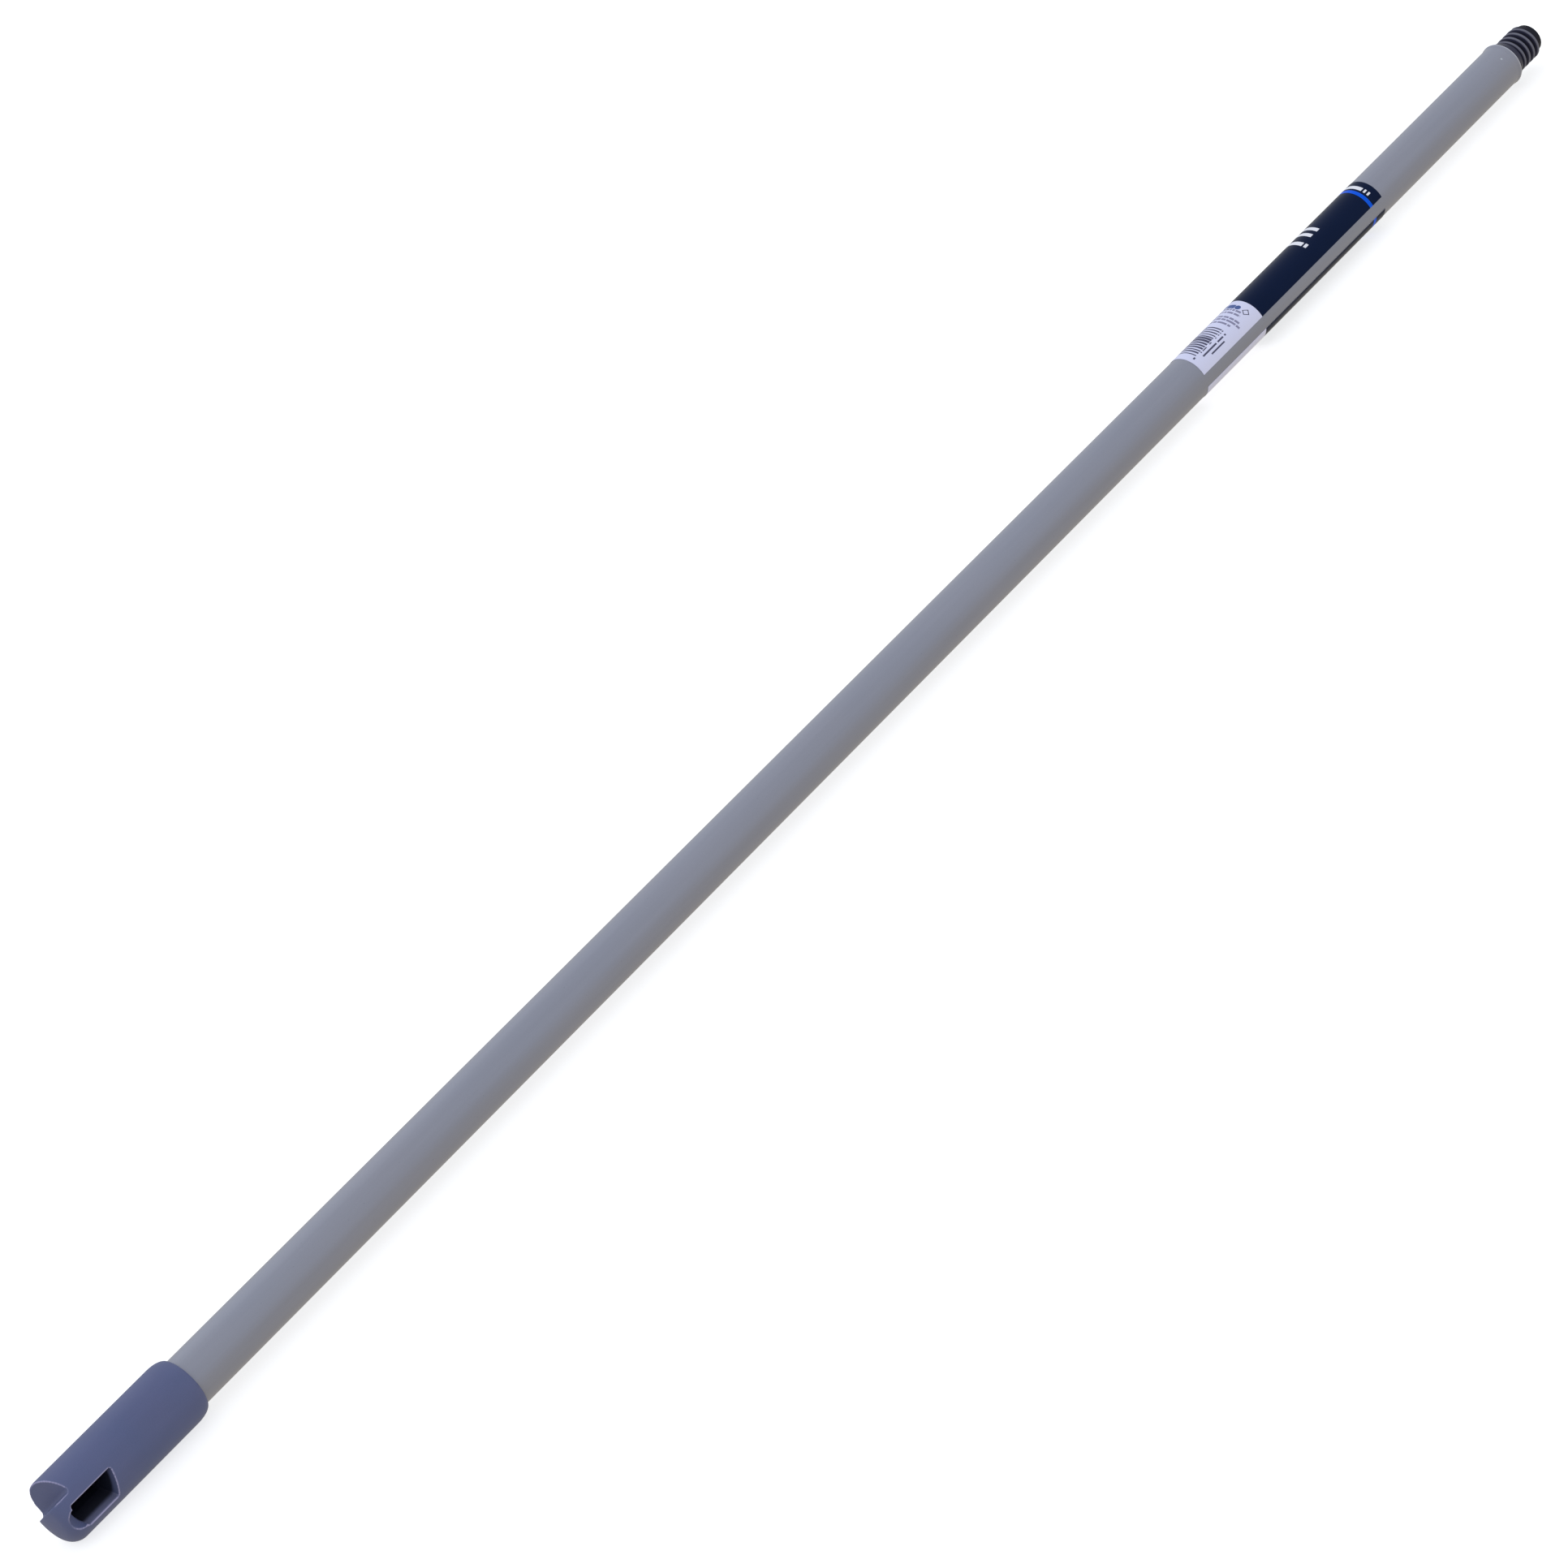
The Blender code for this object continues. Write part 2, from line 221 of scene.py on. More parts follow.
def mesh_of(name, points, faces):
    """Mesh whose coincident points are welded."""
    mesh = bpy.data.meshes.new(name)
    mesh.from_pydata(points.reshape(-1, 3).tolist(), [], faces)
    shape = bmesh.new()
    shape.from_mesh(mesh)
    bmesh.ops.remove_doubles(shape, verts=shape.verts, dist=WELD_DISTANCE)
    shape.to_mesh(mesh)
    shape.free()
    return mesh


def turned(name, profile, steps, closed, shape=None):
    """Turned skin: its profile runs along the outer side towards the tip. shape changes the radii."""
    stations = np.array([p[0] for p in profile])[:, None]
    radii = np.array([p[1] for p in profile])[:, None]
    angles = (2.0 * math.pi / steps * np.arange(steps))[None, :]
    if shape:
        radii = shape(stations, radii, angles)
    points = grid_points(stations, radii, angles)
    return mesh_of(name, points, grid_faces(len(profile), steps, closed, True))


def along(start, end, step):
    """Evenly spaced stations from start to end, both included."""
    count = max(1, math.ceil(abs(end - start) / step))
    return [start + (end - start) * i / count for i in range(count + 1)]


def applied(target):
    """The target's mesh with its modifiers applied."""
    bpy.context.view_layer.update()
    graph = bpy.context.evaluated_depsgraph_get()
    return bpy.data.meshes.new_from_object(target.evaluated_get(graph))


def cut(mesh, cutters, name):
    """The mesh less every cutter mesh."""
    target = hold(name, mesh)
    helpers = []
    for number, cutter in enumerate(cutters):
        helper = hold(f"{name}_cutter_{number}", cutter)
        helpers.append(helper)
        boolean = target.modifiers.new(helper.name, "BOOLEAN")
        boolean.operation = "DIFFERENCE"
        boolean.solver = "EXACT"
        boolean.object = helper
    result = applied(target)
    for thing in helpers + [target]:
        bpy.data.objects.remove(thing, do_unlink=True)
    return result


# ---------------------------------------------------------------- end cap

def cap_blank():
    """Crowned body with a socket for the tube, and a thin rounded shoulder at its mouth."""
    lip = CAP_BORE + CAP_LIP
    edge = CAP_RADIUS - CAP_END_ROUND * (1.0 - math.sin(CAP_CROWN_TURN))
    rise = edge * math.tan(CAP_CROWN_TURN) / 2.0
    corner = (rise + CAP_END_ROUND * math.cos(CAP_CROWN_TURN), CAP_RADIUS - CAP_END_ROUND)
    profile = [(rise * (i / 10.0) ** 2, edge * i / 10.0) for i in range(10)]
    crown_deg = 180.0 - math.degrees(CAP_CROWN_TURN)
    profile += arc(corner, (CAP_END_ROUND, CAP_END_ROUND), crown_deg, 90.0, 24)
    shoulder = (CAP_MOUTH - CAP_SHOULDER, lip)
    profile += arc(shoulder, (CAP_SHOULDER, CAP_RADIUS - lip), 90.0, 0.0, 20)
    profile += [(CAP_MOUTH, CAP_BORE), (SOCKET_FLOOR, CAP_BORE), (SOCKET_FLOOR, 0.0)]
    return turned("cap_blank", profile, CAP_COLUMNS, False)


def slot_outline():
    """(height, station) outline of the slot: both ends lean, and the one by the dome is bowed."""
    bow = (SLOT_HALF_WIDTH ** 2 + SLOT_BULGE ** 2) / (2.0 * SLOT_BULGE)
    half = math.asin(SLOT_HALF_WIDTH / bow)
    points = []
    for i in range(25):
        turn = -half + 2.0 * half * i / 24
        height = bow * math.sin(turn)
        lean = SLOT_NEAR_SKEW * height / SLOT_HALF_WIDTH
        points.append(Vector((height, SLOT_NEAR + bow * (1.0 - math.cos(turn)) - lean)))
    top = Vector((SLOT_HALF_WIDTH, SLOT_FAR + SLOT_SKEW))
    bottom = Vector((-SLOT_HALF_WIDTH, SLOT_FAR - SLOT_SKEW))
    for corner, after in ((top, bottom), (bottom, points[0])):
        before = points[-1]
        start = corner + (before - corner).normalized() * SLOT_CORNER
        end = corner + (after - corner).normalized() * SLOT_CORNER
        for i in range(7):
            t = i / 6.0
            points.append(start * (1 - t) ** 2 + corner * 2.0 * t * (1 - t) + end * t ** 2)
    return points


def slot_cutter():
    """Blind pocket from the front; its floor is parallel to the ledge of the notch, just below it."""
    shape = bmesh.new()
    rings = []
    for is_floor in (False, True):
        ring = []
        for height, station in slot_outline():
            depth = -CAP_RADIUS - CAP_CUTTER_REACH
            if is_floor:
                depth = (SLOT_FLOOR - height * math.cos(NOTCH_TURN)) / math.sin(NOTCH_TURN)
            ring.append(shape.verts.new((START + station, depth, AXIS_Z + height)))
        rings.append(ring)
        shape.faces.new(ring)
    count = len(rings[0])
    for i in range(count):
        j = (i + 1) % count
        shape.faces.new((rings[0][i], rings[0][j], rings[1][j], rings[1][i]))
    bmesh.ops.recalc_face_normals(shape, faces=shape.faces)
    return bake("slot_cutter", shape)


def scoop_cutter():
    """Slanted cylinder that bevels the end of the slot by the dome."""
    centre = Vector((START + SCOOP_EDGE + SCOOP_RADIUS * math.sin(SCOOP_TILT),
                     -CAP_RADIUS - SCOOP_RADIUS * math.cos(SCOOP_TILT), AXIS_Z))
    inward = Vector((math.cos(SCOOP_TILT), math.sin(SCOOP_TILT), 0.0))
    turn = inward.to_track_quat("Z", "Y").to_matrix().to_4x4()
    shape = bmesh.new()
    bmesh.ops.create_cone(shape, cap_ends=True, segments=96,
                          radius1=SCOOP_RADIUS, radius2=SCOOP_RADIUS, depth=SCOOP_LENGTH,
                          matrix=Matrix.Translation(centre) @ turn)
    return bake("scoop_cutter", shape)


def notch_cutter():
    """Step in the domed end: a flat ledge and a slightly hollow facet with a round inner corner."""
    reach = CAP_RADIUS + CAP_CUTTER_REACH
    up = np.array((0.0, math.sin(NOTCH_TURN), math.cos(NOTCH_TURN)))
    front = np.array((0.0, -math.cos(NOTCH_TURN), math.sin(NOTCH_TURN)))
    corner = [NOTCH_CORNER * (1.0 - math.cos(math.pi / 2.0 * i / 10)) for i in range(11)]
    heights = [NOTCH_LEDGE + c for c in corner]
    heights += along(NOTCH_LEDGE + NOTCH_CORNER, reach, NOTCH_STEP)[1:]
    rows = len(heights)
    columns = NOTCH_COLUMNS
    d = np.linspace(-reach, reach, columns)[None, :]
    u = np.array(heights)[:, None]
    station = NOTCH_DEPTH + NOTCH_YAW * d + NOTCH_BOW * u * u
    from_corner = np.clip(NOTCH_CORNER - (u - NOTCH_LEDGE), 0.0, NOTCH_CORNER)
    station = station - (NOTCH_CORNER - np.sqrt(NOTCH_CORNER ** 2 - from_corner ** 2))
    flat = np.full_like(station, -CAP_CUTTER_REACH)
    sheets = []
    for s in (station, flat):
        points = np.array((START, 0.0, AXIS_Z)) + u[..., None] * up + d[..., None] * front
        points = points + s[..., None] * np.array((1.0, 0.0, 0.0))
        sheets.append(points.reshape(-1, 3))
    faces = []
    base = rows * columns
    for i in range(rows - 1):
        for k in range(columns - 1):
            a = i * columns + k
            b, c, e = a + 1, a + columns + 1, a + columns
            faces += [(a, b, c, e), (base + a, base + e, base + c, base + b)]
    rim = list(range(columns)) + [i * columns + columns - 1 for i in range(1, rows)]
    rim += [(rows - 1) * columns + k for k in range(columns - 2, -1, -1)]
    rim += [i * columns for i in range(rows - 2, 0, -1)]
    for a, b in zip(rim, rim[1:] + rim[:1]):
        faces.append((b, a, base + a, base + b))
    mesh = mesh_of("notch_cutter", np.concatenate(sheets), faces)
    shape = bmesh.new()
    shape.from_mesh(mesh)
    bmesh.ops.recalc_face_normals(shape, faces=shape.faces)
    shape.to_mesh(mesh)
    shape.free()
    return mesh


def end_cap(look):
    """Moulded cap: a fine remesh rounds its edges slightly, as moulding does."""
    sharp = cut(cap_blank(), [slot_cutter(), scoop_cutter(), notch_cutter()], "cap")
    blank = hold("cap_sharp", sharp)
    remesh = blank.modifiers.new("fine", "REMESH")
    remesh.mode = "VOXEL"
    remesh.voxel_size = CAP_VOXEL
    remesh.adaptivity = 0.0
    soften = blank.modifiers.new("soften", "SMOOTH")
    soften.factor = 0.5
    soften.iterations = CAP_SMOOTHING
    mesh = applied(blank)
    bpy.data.objects.remove(blank, do_unlink=True)
    mesh.materials.clear()
    made = dress("moulded_end_cap", mesh, look)
    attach(made, "root")
    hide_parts("end_cap")


# ---------------------------------------------------------------- tube

def tube_shape(stations, radii, angles):
    """Belled lip at the rim, and three stake dimples over the shank of the tip."""
    bell = smooth_step(1.0 - np.abs(stations - LIP_PEAK) / LIP_REACH)
    radii = radii + LIP_RISE * bell
    for angle in STAKE_ANGLES:
        turn = (angles - angle + math.pi) % (2.0 * math.pi) - math.pi
        distance = np.sqrt((stations - STAKE_STATION) ** 2 + (TUBE_RADIUS * turn) ** 2)
        radii = radii - STAKE_DEPTH * smooth_step(1.0 - distance / STAKE_RADIUS)
    return radii


def tube(look):
    """Thin-walled tube: coarse rows along its plain length, fine ones at the dimples and the lip."""
    fine_start = STAKE_STATION - TUBE_FINE_REACH
    rim_start = TUBE_RIM - RIM_ROUND
    stations = along(TUBE_START, fine_start, TUBE_STEP)[:-1]
    stations += along(fine_start, rim_start, TUBE_FINE_STEP)
    rim = arc((rim_start, TUBE_RADIUS - RIM_ROUND), (RIM_ROUND, RIM_ROUND), 90.0, 0.0, 4)[1:]
    profile = [(s, TUBE_RADIUS) for s in stations] + rim
    profile += [(s, TUBE_RADIUS - TUBE_WALL) for s in reversed(stations)]
    mesh = turned("coated_tube", profile, TUBE_COLUMNS, True, tube_shape)
    made = dress("coated_tube", mesh, look)
    made.data.set_sharp_from_angle(angle=math.radians(40.0))
    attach(made, "root")
    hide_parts("tube")


# ---------------------------------------------------------------- threaded tip

def thread_shape(stations, radii, angles):
    """Right-hand ridge with rounded flanks that sinks into the core at both ends."""
    turned_by = (angles + math.pi / 2.0) / (2.0 * math.pi)
    phase = (stations - THREAD_START) / THREAD_PITCH + turned_by
    nearest = np.round(phase)
    offset = np.abs(phase - nearest) * THREAD_PITCH
    done = nearest - turned_by
    fade = smooth_step(np.minimum(done, THREAD_TURNS - done) / THREAD_RUN_OUT)
    ridge = smooth_step((THREAD_BASE - offset) / (THREAD_BASE - THREAD_TOP))
    outer = THREAD_ROOT + (THREAD_CREST - THREAD_ROOT) * ridge * fade
    near_core = np.abs(radii - THREAD_ROOT) < 0.0006
    return np.where((stations > COLLAR_END) & near_core, np.maximum(outer, radii), radii)


def round_edge(station, radius, round_radius, start_deg, end_deg, steps):
    """(station, radius) points of a circular arc."""
    return arc((station, radius), (round_radius, round_radius), start_deg, end_deg, steps)


def tip_profile():
    """(station, radius) outline: the bore back to the shank's end, then the outer side to the nose."""
    bore_end = LENGTH - NOSE_WALL
    groove_start = STAKE_STATION - GROOVE_HALF_LENGTH
    groove_end = STAKE_STATION + GROOVE_HALF_LENGTH
    groove_floor = SHANK_RADIUS - GROOVE_DEPTH
    profile = [(bore_end, 0.0), (bore_end, NOSE_BORE), (COLLAR_SEAT + 0.003, NOSE_BORE)]
    profile += [(TUBE_RIM - 0.002, SHANK_BORE), (SHANK_END, SHANK_BORE)]
    profile += [(SHANK_END, SHANK_RADIUS - SHANK_CHAMFER), (SHANK_END + SHANK_CHAMFER, SHANK_RADIUS)]
    profile += [(groove_start, SHANK_RADIUS), (groove_start, groove_floor)]
    profile += [(groove_end, groove_floor), (groove_end, SHANK_RADIUS), (COLLAR_SEAT, SHANK_RADIUS)]
    profile += round_edge(COLLAR_SEAT + COLLAR_SEAT_ROUND, COLLAR_RADIUS - COLLAR_SEAT_ROUND,
                          COLLAR_SEAT_ROUND, 180.0, 90.0, 3)
    profile += round_edge(TUBE_RIM + COLLAR_LENGTH - 0.0008, COLLAR_RADIUS - COLLAR_ROUND,
                          COLLAR_ROUND, 90.0, COLLAR_TAPER_TURN, 5)
    profile += round_edge(COLLAR_END - COLLAR_FACE_ROUND, COLLAR_FACE - COLLAR_FACE_ROUND,
                          COLLAR_FACE_ROUND, COLLAR_TAPER_TURN, 0.0, 5)
    core_start = COLLAR_END + THREAD_FILLET
    core_end = LENGTH - NOSE_ROUND
    profile += round_edge(core_start, THREAD_ROOT + THREAD_FILLET,
                          THREAD_FILLET, 180.0, 270.0, 5)[:-1]
    profile += [(s, THREAD_ROOT) for s in along(core_start, core_end, THREAD_STEP)]
    profile += round_edge(core_end, THREAD_ROOT - NOSE_ROUND, NOSE_ROUND, 90.0, 0.0, 8)[1:]
    return profile + [(LENGTH, 0.0)]


def threaded_tip(look):
    """Shank with a bore and a stake groove, a tapered collar and a threaded core with a flat nose."""
    mesh = turned("moulded_tip", tip_profile(), TIP_COLUMNS, False, thread_shape)
    made = dress("moulded_tip", mesh, look)
    made.data.set_sharp_from_angle(angle=math.radians(50.0))
    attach(made, "root")
    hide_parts("threaded_tip")


# ---------------------------------------------------------------- label

def label(look):
    """Film wrapped round the tube, from its upper front edge over the top to its lower front edge."""
    columns = LABEL_COLUMNS
    first, last = LABEL_ANGLES
    angles = np.linspace(first, last, columns)[None, :]
    inner = TUBE_RADIUS + LABEL_GAP
    outer = TUBE_RADIUS + LABEL_GAP + LABEL_FILM
    profile = [(s, outer) for s in along(LABEL_START, LABEL_END, LABEL_STEP)]
    profile += [(s, inner) for s in along(LABEL_END, LABEL_START, LABEL_STEP)]
    stations = np.array([p[0] for p in profile])[:, None]
    radii = np.array([p[1] for p in profile])[:, None]
    rows = len(profile)
    faces = grid_faces(rows, columns, True, False)
    half = rows // 2
    for i in range(half - 1):
        a, b = i * columns, (i + 1) * columns
        c, e = (rows - 2 - i) * columns, (rows - 1 - i) * columns
        faces.append((a, e, c, b))
        faces.append((a + columns - 1, b + columns - 1, c + columns - 1, e + columns - 1))
    mesh = mesh_of("printed_label", grid_points(stations, radii, angles), faces)
    made = dress("printed_label", mesh, look)
    made.data.set_sharp_from_angle(angle=math.radians(40.0))
    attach(made, "root")
    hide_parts("label")


# ---------------------------------------------------------------- materials

class Field:
    """A number that varies over a surface, worked out by nodes."""

    def __init__(self, tree, socket):
        self.tree = tree
        self.socket = socket

    def calc(self, operation, *others):
        """Field made from this one, and from other fields or numbers, by one math node."""
        made = self.tree.nodes.new("ShaderNodeMath")
        made.operation = operation
        for number, value in enumerate((self,) + others):
            if isinstance(value, Field):
                self.tree.links.new(value.socket, made.inputs[number])
            else:
                made.inputs[number].default_value = value
        return Field(self.tree, made.outputs[0])

    def __add__(self, other):
        return self.calc("ADD", other)

    def __sub__(self, other):
        return self.calc("SUBTRACT", other)

    def __mul__(self, other):
        return self.calc("MULTIPLY", other)

    def above(self, limit):
        return self.calc("GREATER_THAN", limit)

    def below(self, limit):
        return self.calc("LESS_THAN", limit)

    def between(self, low, high):
        return self.above(low) * self.below(high)

    def ramp(self, low, high, out_low=0.0, out_high=1.0):
        """Smooth change from out_low to out_high while this goes from low to high."""
        made = self.tree.nodes.new("ShaderNodeMapRange")
        made.interpolation_type = "SMOOTHSTEP"
        self.tree.links.new(self.socket, made.inputs["Value"])
        made.inputs["From Min"].default_value = low
        made.inputs["From Max"].default_value = high
        made.inputs["To Min"].default_value = out_low
        made.inputs["To Max"].default_value = out_high
        return Field(self.tree, made.outputs["Result"])


class Look:
    """A node material around one Principled shader."""

    def __init__(self, name, **constants):
        self.material = bpy.data.materials.new(name)
        self.material.use_nodes = True
        self.tree = self.material.node_tree
        self.shader = self.tree.nodes["Principled BSDF"]
        for key, value in constants.items():
            self.shader.inputs[key.replace("_", " ")].default_value = value
        self.place = self.tree.nodes.new("ShaderNodeTexCoord").outputs["Object"]
        split = self.tree.nodes.new("ShaderNodeSeparateXYZ")
        self.tree.links.new(self.place, split.inputs[0])
        x, y, z = (Field(self.tree, split.outputs[i]) for i in range(3))
        self.station = x - START
        self.y = y
        self.z = z - AXIS_Z
        self.radius = (y * y + self.z * self.z).calc("SQRT")

    def angle_deg(self):
        """Angle from the front over the top, from 0 to 360 degrees."""
        turn = self.z.calc("ARCTAN2", self.y * -1.0) * math.degrees(1.0)
        return (turn + 360.0).calc("MODULO", 360.0)

    def noise(self, scale, detail, stretch=(1.0, 1.0, 1.0)):
        """Cloudy noise from 0 to 1; a stretch below 1 draws it out along that axis."""
        spread = self.tree.nodes.new("ShaderNodeMapping")
        spread.inputs["Scale"].default_value = stretch
        self.tree.links.new(self.place, spread.inputs["Vector"])
        made = self.tree.nodes.new("ShaderNodeTexNoise")
        made.inputs["Scale"].default_value = scale
        made.inputs["Detail"].default_value = detail
        self.tree.links.new(spread.outputs[0], made.inputs["Vector"])
        return Field(self.tree, made.outputs[0])

    def spots(self, scale):
        """Distance to the nearest of scattered points, in cells."""
        made = self.tree.nodes.new("ShaderNodeTexVoronoi")
        made.inputs["Scale"].default_value = scale
        self.tree.links.new(self.place, made.inputs["Vector"])
        return Field(self.tree, made.outputs["Distance"])

    def random(self, field):
        """One random number for each whole value of the field."""
        made = self.tree.nodes.new("ShaderNodeTexWhiteNoise")
        made.noise_dimensions = "1D"
        self.tree.links.new(field.calc("FLOOR").socket, made.inputs["W"])
        return Field(self.tree, made.outputs["Value"])

    def mix(self, share, first, second, kind="MIX"):
        """Blend of two colours, each a socket or three numbers, by a share of the second."""
        made = self.tree.nodes.new("ShaderNodeMix")
        made.data_type = "RGBA"
        made.blend_type = kind
        for number, value in ((0, share), (6, first), (7, second)):
            if isinstance(value, Field):
                self.tree.links.new(value.socket, made.inputs[number])
            elif isinstance(value, bpy.types.NodeSocket):
                self.tree.links.new(value, made.inputs[number])
            else:
                made.inputs[number].default_value = (*value, 1.0) if number else value
        return made.outputs[2]

    def shade(self, colour, field, low, high):
        """The colour scaled by low where the field is 0 and by high where it is 1."""
        return self.mix(field, self.mix(1.0, colour, (low,) * 3, "MULTIPLY"),
                        self.mix(1.0, colour, (high,) * 3, "MULTIPLY"))

    def colour(self, socket):
        self.tree.links.new(socket, self.shader.inputs["Base Color"])

    def rough(self, field):
        self.tree.links.new(field.socket, self.shader.inputs["Roughness"])

    def bump(self, field, distance, strength):
        """Relief from a field, added to the relief that is already there."""
        made = self.tree.nodes.new("ShaderNodeBump")
        made.inputs["Distance"].default_value = distance
        made.inputs["Strength"].default_value = strength
        self.tree.links.new(field.socket, made.inputs["Height"])
        normal = self.shader.inputs["Normal"]
        if normal.is_linked:
            self.tree.links.new(normal.links[0].from_socket, made.inputs["Normal"])
        self.tree.links.new(made.outputs[0], normal)


def coating_look():
    """Satin grey coating: faint clouds, streaks along the tube, orange peel, specks, a painted glint
    in each stake dimple, and a painted highlight at the rim's edge."""
    look = Look("satin_coating", Metallic=0.25, Coat_Weight=0.12, Coat_Roughness=0.25)
    clouds = look.noise(14.0, 4.0, (1.0, 3.0, 3.0))
    streaks = look.noise(260.0, 3.0, (0.035, 1.0, 1.0))
    grain = look.noise(2600.0, 1.0)
    colour = look.mix(clouds, (0.262, 0.276, 0.342), (0.290, 0.290, 0.342))
    colour = look.shade(colour, streaks, 0.93, 1.07)
    colour = look.shade(colour, grain, 0.95, 1.05)
    specks = look.spots(170.0).below(0.045)
    colour = look.mix(specks * 0.35, colour, (0.15, 0.155, 0.18))
    # Painted glint: a pale spot in each stake dimple.
    around = look.angle_deg()
    for angle in STAKE_ANGLES:
        across = (around - math.degrees(angle)) * (math.radians(1.0) * TUBE_RADIUS)
        glint_distance = (look.station - STAKE_STATION).calc("POWER", 2.0) + across.calc("POWER", 2.0)
        glint_distance = glint_distance.calc("SQRT")
        colour = look.mix(glint_distance.ramp(0.0003, 0.0009, 0.8, 0.0), colour, (0.62, 0.66, 0.70))
    # Painted highlight: the tube turns paler towards the rim's edge.
    rim = look.station.ramp(TUBE_RIM - 0.0012, TUBE_RIM - 0.0003, 0.0, 0.8)
    colour = look.mix(rim, colour, (0.52, 0.53, 0.58))
    look.colour(colour)
    look.rough((streaks * 0.10 + 0.30) + clouds * 0.08)
    look.bump(look.noise(950.0, 2.0), 0.00003, 0.5)
    look.bump(streaks, 0.00002, 0.4)
    return look.material


def cap_look():
    """Slate moulded plastic: fine grain, flow marks, a parting line underneath, outer edges at the
    slot and the notch painted pale as wear and highlight, painted shade inside the slot and painted
    light on its lower wall near its mouth."""
    look = Look("slate_plastic", Coat_Weight=0.0, Specular_IOR_Level=0.24)
    clouds = look.noise(45.0, 4.0)
    grain = look.noise(3200.0, 2.0)
    flow = look.noise(120.0, 3.0, (0.25, 1.0, 1.0))
    colour = look.mix(clouds, (0.092, 0.118, 0.238), (0.118, 0.127, 0.244))
    colour = look.shade(colour, flow, 0.92, 1.08)
    colour = look.shade(colour, grain, 0.90, 1.10)
    # Painted highlight, partly wear: convex outer edges at the slot and the notch lightened by
    # pointiness.
    geometry = look.tree.nodes.new("ShaderNodeNewGeometry")
    edge = Field(look.tree, geometry.outputs["Pointiness"]).ramp(0.512, 0.556)
    up = look.z * math.cos(NOTCH_TURN) + look.y * math.sin(NOTCH_TURN)
    edge = edge * look.radius.ramp(CAP_RADIUS - 0.0024, CAP_RADIUS - 0.0010)
    edge = edge * look.station.below(SLOT_FAR + 0.0030)
    colour = look.mix(edge, colour, (0.38, 0.36, 0.55))
    # Painted shade: the inside of the slot is darkened to near black.
    painted_slot_shade = look.radius.ramp(CAP_RADIUS - 0.0060, CAP_RADIUS - 0.0030, 1.0, 0.0)
    painted_slot_shade = painted_slot_shade * up.ramp(SLOT_FLOOR + 0.0002, SLOT_FLOOR + 0.0012, 1.0, 0.0)
    painted_slot_shade = painted_slot_shade * look.station.ramp(SLOT_NEAR - 0.0002, SLOT_NEAR + 0.0010)
    painted_slot_shade = painted_slot_shade * look.z.calc("ABSOLUTE").below(SLOT_HALF_WIDTH + 0.0006)
    # Painted light: a paler strip on the slot's lower wall near its front.
    painted_sill_light = look.z.below(-SLOT_HALF_WIDTH + 0.0006) * look.z.above(-SLOT_HALF_WIDTH - 0.0006)
    painted_sill_light = painted_sill_light * look.station.between(SLOT_NEAR, SLOT_FAR) * look.radius.below(CAP_RADIUS - 0.0004)
    colour = look.mix(painted_sill_light * look.y.below(0.0) * 0.45, colour, (0.30, 0.30, 0.44))
    colour = look.mix(painted_slot_shade * 0.88, colour, (0.004, 0.004, 0.006))
    look.colour(colour)
    look.rough((grain * 0.10 + 0.42) + clouds * 0.06)
    seam = look.y.calc("ABSOLUTE").ramp(0.00005, 0.00016, 1.0, 0.0) * look.z.below(0.0)
    look.bump(grain, 0.00004, 0.6)
    look.bump(seam, 0.00006, 0.8)
    return look.material


def tip_look():
    """Dark moulded plastic with a satin skin, thread roots painted dark as shade and crests painted
    pale as highlights.
    """
    look = Look("dark_plastic", Specular_IOR_Level=0.12)
    clouds = look.noise(160.0, 3.0)
    grain = look.noise(3600.0, 2.0)
    colour = look.mix(clouds, (0.020, 0.021, 0.048), (0.031, 0.031, 0.058))
    colour = look.shade(colour, grain, 0.85, 1.15)
    on_thread = look.station.above(COLLAR_END + 0.0003)
    # Painted highlight: the thread crests are lightened.
    lit_crest = look.radius.ramp(THREAD_CREST - 0.0006, THREAD_CREST, 0.0, 1.0) * on_thread
    # Painted shade: the thread roots are darkened.
    root = look.radius.ramp(THREAD_ROOT + 0.0001, THREAD_ROOT + 0.0008, 1.0, 0.0) * on_thread
    colour = look.mix(lit_crest * (clouds * 0.4 + 0.5), colour, (0.210, 0.210, 0.260))
    colour = look.mix(root * 0.80, colour, (0.004, 0.004, 0.008))
    look.colour(colour)
    look.rough((grain * 0.12 + 0.32) + lit_crest * 0.10)
    look.bump(grain, 0.00003, 0.5)
    return look.material


class Print:
    """Marks on the label, placed by station in millimetres (s) and angle in degrees (a)."""

    def __init__(self, look):
        self.look = look
        self.s = look.station * 1000.0
        self.a = look.angle_deg()

    def block(self, s0, s1, a0, a1):
        """Plain block."""
        return self.s.between(s0, s1) * self.a.between(a0, a1)

    def words_round(self, s0, s1, a0, a1, per_deg, fill, seed):
        """Row of uneven blocks that runs round the pole."""
        pick = self.look.random(self.a * per_deg + seed)
        return self.block(s0, s1, a0, a1) * pick.below(fill)

    def words_along(self, s0, s1, a0, a1, per_mm, fill, seed):
        """Row of uneven blocks that runs along the pole."""
        pick = self.look.random(self.s * per_mm + seed)
        return self.block(s0, s1, a0, a1) * pick.below(fill)

    def bars(self, s0, s1, a0, a1, per_mm):
        """Evenly spaced bars of uneven width, which run round the pole."""
        cell = self.s * per_mm
        width = self.look.random(cell) * 0.50 + 0.35
        return self.block(s0, s1, a0, a1) * (width - cell.calc("FRACT")).above(0.0)


def all_of(fields):
    """Highest of the fields at each place, which joins the marks of one ink."""
    total = fields[0]
    for other in fields[1:]:
        total = total.calc("MAXIMUM", other)
    return total


